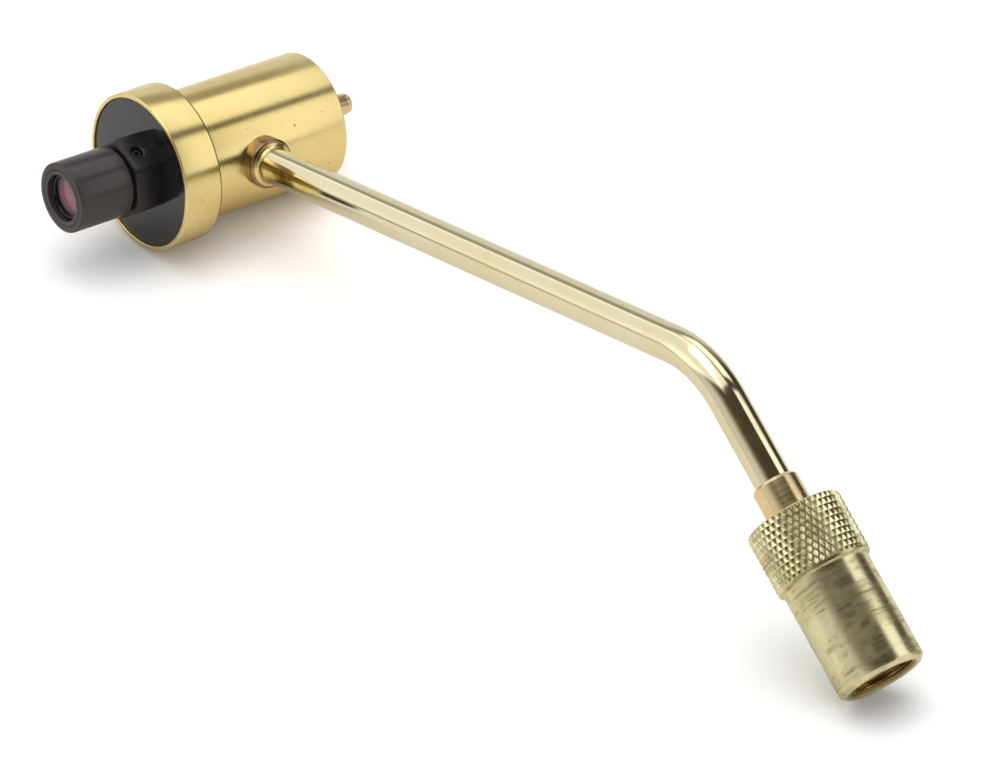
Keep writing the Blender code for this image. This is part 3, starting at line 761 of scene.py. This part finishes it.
def nut_piece():
    """The union nut as rows of points: knurl, smooth band, plain end, mouth, thread and back."""
    per_start = 8
    steps = KNURL_STARTS * per_start
    rise = KNURL_PITCH / per_start
    rows = []

    def row(height, radius):
        points = []
        for i in range(steps):
            angle = math.tau * i / steps
            r = radius(i, angle) if callable(radius) else radius
            points.append((r * math.cos(angle), r * math.sin(angle), -height))
        rows.append(points)

    edge = 0.75 * MM
    band_start = KNURL_END - 0.75 * MM
    plain_start = KNURL_END + 0.7 * MM
    mouth_start = NUT_END - 0.85 * MM
    thread_start = NUT_END - 0.75 * MM
    plain_steps, thread_steps = 12, 96
    count = int((band_start - NUT_START) / rise)
    row(NUT_START, KNURL_R - edge - 0.25 * MM)
    for j in range(count + 1):
        height = NUT_START + (band_start - NUT_START) * j / count

        def crest(i, angle, j=j, height=height):
            tooth = knurl_height(i / per_start, j / per_start)
            inside = max(0.0, edge - (height - NUT_START))
            limit = KNURL_R - edge + math.sqrt(max(0.0, edge * edge - inside * inside))
            return min(limit, KNURL_R - KNURL_DEPTH * (1 - tooth))
        row(height, crest)
    band_r = KNURL_R - 0.12 * MM
    row(band_start + 0.04 * MM, band_r)
    row(KNURL_END - 0.3 * MM, band_r)
    row(KNURL_END - 0.1 * MM, band_r - 0.12 * MM)
    row(KNURL_END + 0.12 * MM, NUT_R + 0.12 * MM)
    row(KNURL_END + 0.4 * MM, NUT_R)
    for j in range(plain_steps + 1):
        row(plain_start + (mouth_start - plain_start) * j / plain_steps, NUT_R)
    mouth = fillet([
        (mouth_start, NUT_R, 0), (NUT_END - 0.72 * MM, NUT_R - 0.04 * MM, 0),
        (NUT_END - 0.05 * MM, NUT_R - 0.75 * MM, 0.12 * MM), (NUT_END, NUT_R - 0.95 * MM, 0),
        (NUT_END, NUT_BORE_R + 0.75 * MM, 0.1 * MM), (NUT_END - 0.7 * MM, NUT_BORE_R + 0.1 * MM, 0)])
    for height, radius in mouth[1:]:
        row(height, radius)
    for j in range(thread_steps + 1):
        depth = THREAD_LENGTH * j / thread_steps

        def cut_r(i, angle, depth=depth):
            return thread_radius(angle, depth)
        row(thread_start - depth, cut_r)
    neck_r = FERRULE_R + 0.3 * MM
    row(NUT_END - 14 * MM, NUT_BORE_R)
    row(NUT_FLOOR, NUT_BORE_R)
    row(NUT_FLOOR, neck_r)
    row(NUT_START + 0.3 * MM, neck_r)
    row(NUT_START, FERRULE_R + 0.55 * MM)
    mesh = ring_mesh("union_nut", rows, closed=True)
    nut = finish_mesh("union_nut", mesh, UNION, NUT_BRASS)
    belong(nut, "nut", "turned_brass", "swivel_nut")


def belong(piece, body, slot, *nodes):
    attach(piece, body)
    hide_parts(*nodes)


def dress_hidden_nodes():
    """Finishes of the CAD nodes that stay."""
    looks = {
        "face_gasket": RUBBER, "barrel_ring": RUBBER, "pin_seal": RUBBER, "holder_locknut": STEEL,
        "pin_clip": STEEL, "slip_washer": STEEL, "pin_bush": BODY_BRASS,
        "spring_seat": BODY_BRASS, "seal_washer": FIBRE,
    }
    for name, look in looks.items():
        frame["nodes"][name].data.materials.clear()
        frame["nodes"][name].data.materials.append(look)


# Studio

ROOM_DIM = 0.055         # strength where the room has nothing bright
ROOM_DIFFUSE = 0.75      # strength for diffuse light, from all sides


def floor():
    """White paper, a little darker where metal mirrors it than where it is looked at."""
    mesh = bpy.data.meshes.new("floor")
    half = 6.0
    corners = [(-half, -half, 0), (half, -half, 0), (half, half, 0), (-half, half, 0)]
    mesh.from_pydata(corners, [], [(0, 1, 2, 3)])
    plane = bpy.data.objects.new("floor", mesh)
    bpy.context.scene.collection.objects.link(plane)
    paper = Surface("white_paper", (0.9, 0.9, 0.905), 0.9, 0.0, Specular_IOR_Level=0.1)
    mirrored = paper.node("ShaderNodeLightPath").outputs["Is Glossy Ray"]
    paper.color(paper.mix(mirrored, (0.90, 0.90, 0.905), (0.55, 0.53, 0.50)))
    mesh.materials.append(paper.material)


def softbox(name, corner, side, up, radiance, edge=0.1, glossy=True, diffuse=True,
            color=(1, 1, 1)):
    """An area light that spans corner, corner + side and corner + up, and fades out at its edges."""
    corner, side, up = Vector(corner), Vector(side), Vector(up)
    data = bpy.data.lights.new(name, "AREA")
    data.shape = "RECTANGLE"
    data.size = side.length
    data.size_y = up.length
    data.energy = radiance * math.pi * side.length * up.length
    data.color = color
    fade_edges(data, edge)
    light = bpy.data.objects.new(name, data)
    bpy.context.scene.collection.objects.link(light)
    x = side.normalized()
    z = x.cross(up).normalized()
    middle = corner + side / 2 + up / 2
    if z.dot(middle) < 0:
        x, z = -x, -z
    light.matrix_world = matrix_from(x, z.cross(x), z, middle)
    light.visible_camera = False
    light.visible_glossy = glossy
    light.visible_diffuse = diffuse


def fade_edges(data, edge):
    """Fades a lamp out towards its four sides, over a share of its size."""
    data.use_nodes = True
    nodes = Nodes(data.node_tree)
    across = nodes.parts(nodes.node("ShaderNodeNewGeometry").outputs["Parametric"])
    mask = None
    for axis in ("X", "Y"):
        for start, end in ((0.0, edge), (1.0, 1.0 - edge)):
            step = nodes.spread(across[axis], start, end)
            mask = step if mask is None else nodes.math("MULTIPLY", mask, step)
    nodes.link(mask, data.node_tree.nodes["Emission"].inputs["Strength"])


def room():
    """Surroundings that metal mirrors: dim and warm above and behind, lighter in front and low at
    the left rear. Diffuse light is even, and the camera would see white."""
    world = bpy.data.worlds.new("studio")
    bpy.context.scene.world = world
    world.use_nodes = True
    nodes = Nodes(world.node_tree)
    background = world.node_tree.nodes["Background"]
    toward = nodes.parts(nodes.node("ShaderNodeTexCoord").outputs["Generated"])
    path = nodes.node("ShaderNodeLightPath")
    left_rear = nodes.math("MULTIPLY", nodes.spread(toward["X"], -0.2, -0.7),
                           nodes.spread(toward["Y"], -0.05, 0.12))
    left_rear = nodes.math("MULTIPLY", left_rear, nodes.spread(toward["Z"], 0.30, 0.42, 0.62, 0.24))
    ahead = nodes.math("MULTIPLY", nodes.spread(toward["Y"], -0.45, -0.95),
                       nodes.spread(toward["Z"], 0.25, 0.80, 0.55, 0.05))
    strength = nodes.math("ADD", nodes.math("ADD", left_rear, ahead), ROOM_DIM)
    diffuse = nodes.math("MULTIPLY", path.outputs["Is Diffuse Ray"], ROOM_DIFFUSE)
    strength = nodes.math("MAXIMUM", strength, diffuse)
    strength = nodes.math("MAXIMUM", strength, path.outputs["Is Camera Ray"])
    nodes.link(strength, background.inputs["Strength"])
    tint = nodes.mix(nodes.math("MULTIPLY", strength, 2.5), (1.0, 0.80, 0.50), (1.0, 1.0, 1.0))
    nodes.link(tint, background.inputs["Color"])


def camera():
    data = bpy.data.cameras.new("camera")
    data.sensor_width = 36
    data.lens = CAMERA_FOCAL_PX * 36 / 1000
    data.clip_start = 0.05
    view = bpy.data.objects.new("camera", data)
    bpy.context.scene.collection.objects.link(view)
    azimuth = math.radians(CAMERA_AZIMUTH)
    elevation = math.radians(CAMERA_ELEVATION)
    back = Vector((math.sin(azimuth) * math.cos(elevation), -math.cos(azimuth) * math.cos(elevation),
                   math.sin(elevation)))
    right = Vector((math.cos(azimuth), math.sin(azimuth), 0))
    target = Vector((head_origin.x, head_origin.y, 0)) + Vector((*CAMERA_AIM, 0))
    view.matrix_world = matrix_from(right, back.cross(right), back, target + back * CAMERA_DISTANCE)
    bpy.context.scene.camera = view


CAMERA_FOCAL_PX = 7945.0   # focal length in widths of a thousandth of the frame
CAMERA_AZIMUTH = 52.27
CAMERA_ELEVATION = 35.89
CAMERA_DISTANCE = 1.3357
CAMERA_AIM = (70.93 * MM, 15.77 * MM)  # from under the head's axis, at the collar's rear face

camera()
head_pieces()
spring_piece()
barrel_pieces()
arm_pieces()
nut_piece()
dress_hidden_nodes()
floor()
room()
# Three panels light the object and show as bands in its round pieces. The panel overhead is only
# mirrored, and the fill above it only lights.
softbox("rear_top", (-0.56, 0.23, 0.60), (0.66, 0, 0), (0, 0.54, 0), 1.08, edge=0.07)
softbox("rear_right", (0.19, 0.26, 0.60), (0, 0.73, 0), (0.77, 0, -0.56), 1.08, edge=0.06)
softbox("left_front", (-0.85, 0.04, 0.03), (0.40, -0.85, 0), (0.70, 0.33, 0.93), 0.78, edge=0.10)
softbox("overhead", (-0.34, -0.32, 0.66), (0.53, 0, 0), (0, 0.53, 0), 0.9, edge=0.06, diffuse=False)
softbox("overhead_fill", (-0.6, -0.5, 1.3), (1.2, 0, 0), (0, 1.2, 0), 1.6, glossy=False)
# A small warm lamp under the head stands in for the light that the brass throws on the paper
softbox("brass_glow", (head_origin.x + 0.006, head_origin.y - 0.004, 0.016), (0.028, 0, 0),
        (0, 0.040, 0), 0.45, edge=0.3, glossy=False, color=(1.0, 0.46, 0.08))
bpy.context.scene.view_settings.view_transform = "Standard"

bpy.data.materials.remove(cutter_material)
